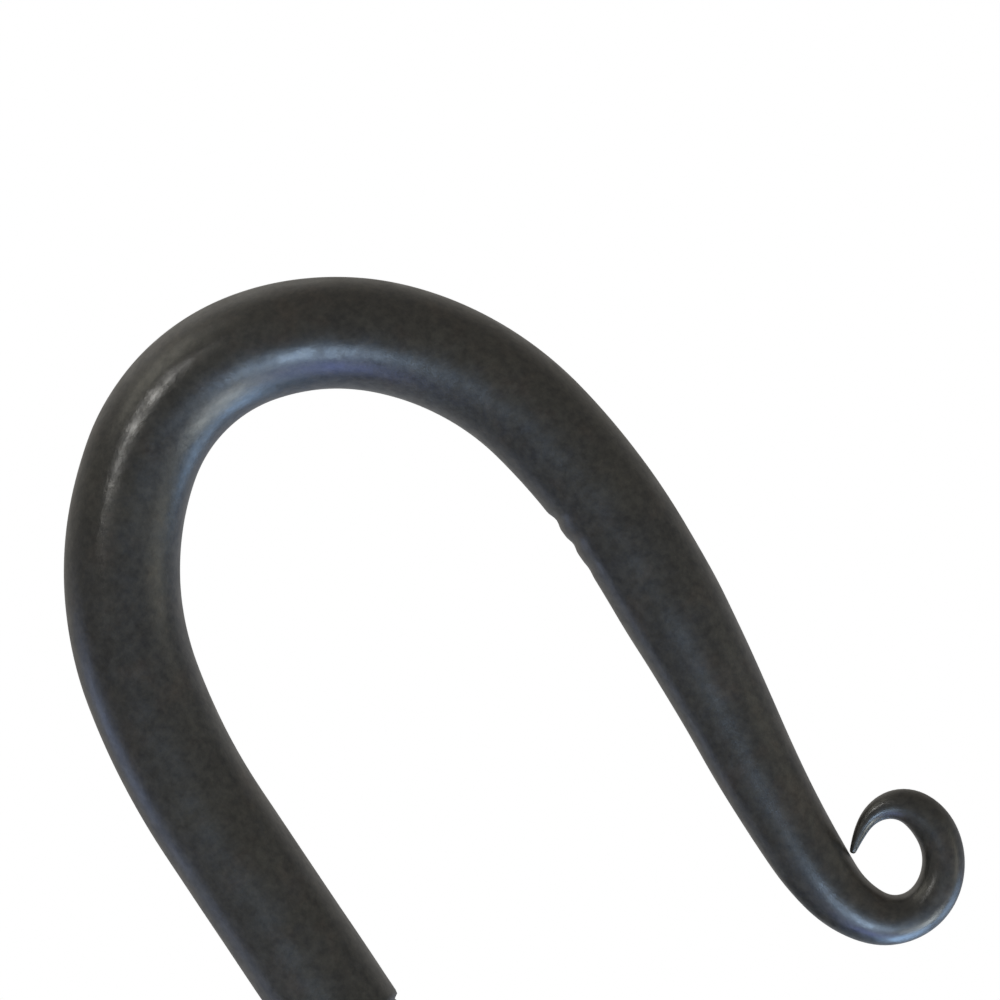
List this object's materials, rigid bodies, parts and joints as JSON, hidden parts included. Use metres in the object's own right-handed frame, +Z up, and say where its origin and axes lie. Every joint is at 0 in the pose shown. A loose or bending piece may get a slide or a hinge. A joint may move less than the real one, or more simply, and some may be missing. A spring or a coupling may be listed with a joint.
{
  "type": "cockspur window handle",
  "caption": "Casement window fastener: a back plate with a turning spur that hooks over the keep, worked by a forged shepherd's crook handle with a scrolled tip.",
  "frame": {"origin": "on the back plate's rear face, at the pivot's axis and midway between the two screw holes", "axes": "+Z up the stile, +X along the closed spur, +Y into the sash; the handle faces -Y"},
  "size_m": [0.0743, 0.026, 0.1088],
  "materials": {
    "crook_iron": "satin black waxed forged iron",
    "forged_iron": "satin black waxed forged iron",
    "dark_steel": "blackened turned steel",
    "spring_steel": "blued spring steel",
    "brass_washer": "dull turned brass"
  },
  "bodies": {
    "plate": {"back_plate": "forged_iron", "pivot_stud": "dark_steel", "stop_pin": "dark_steel", "thrust_washer": "brass_washer", "wave_washer": "spring_steel", "cap_washer": "dark_steel", "dome_nut": "dark_steel"},
    "handle": {"cockspur": "forged_iron", "crook_handle": "crook_iron", "tenon_pin": "dark_steel"}
  },
  "joints": [
    {"name": "handle_turn", "type": "hinge", "parent": "plate", "child": "handle", "pos_m": [0, 0, 0], "axis": [0, 1, 0], "range_deg": [0, 90]}
  ]
}
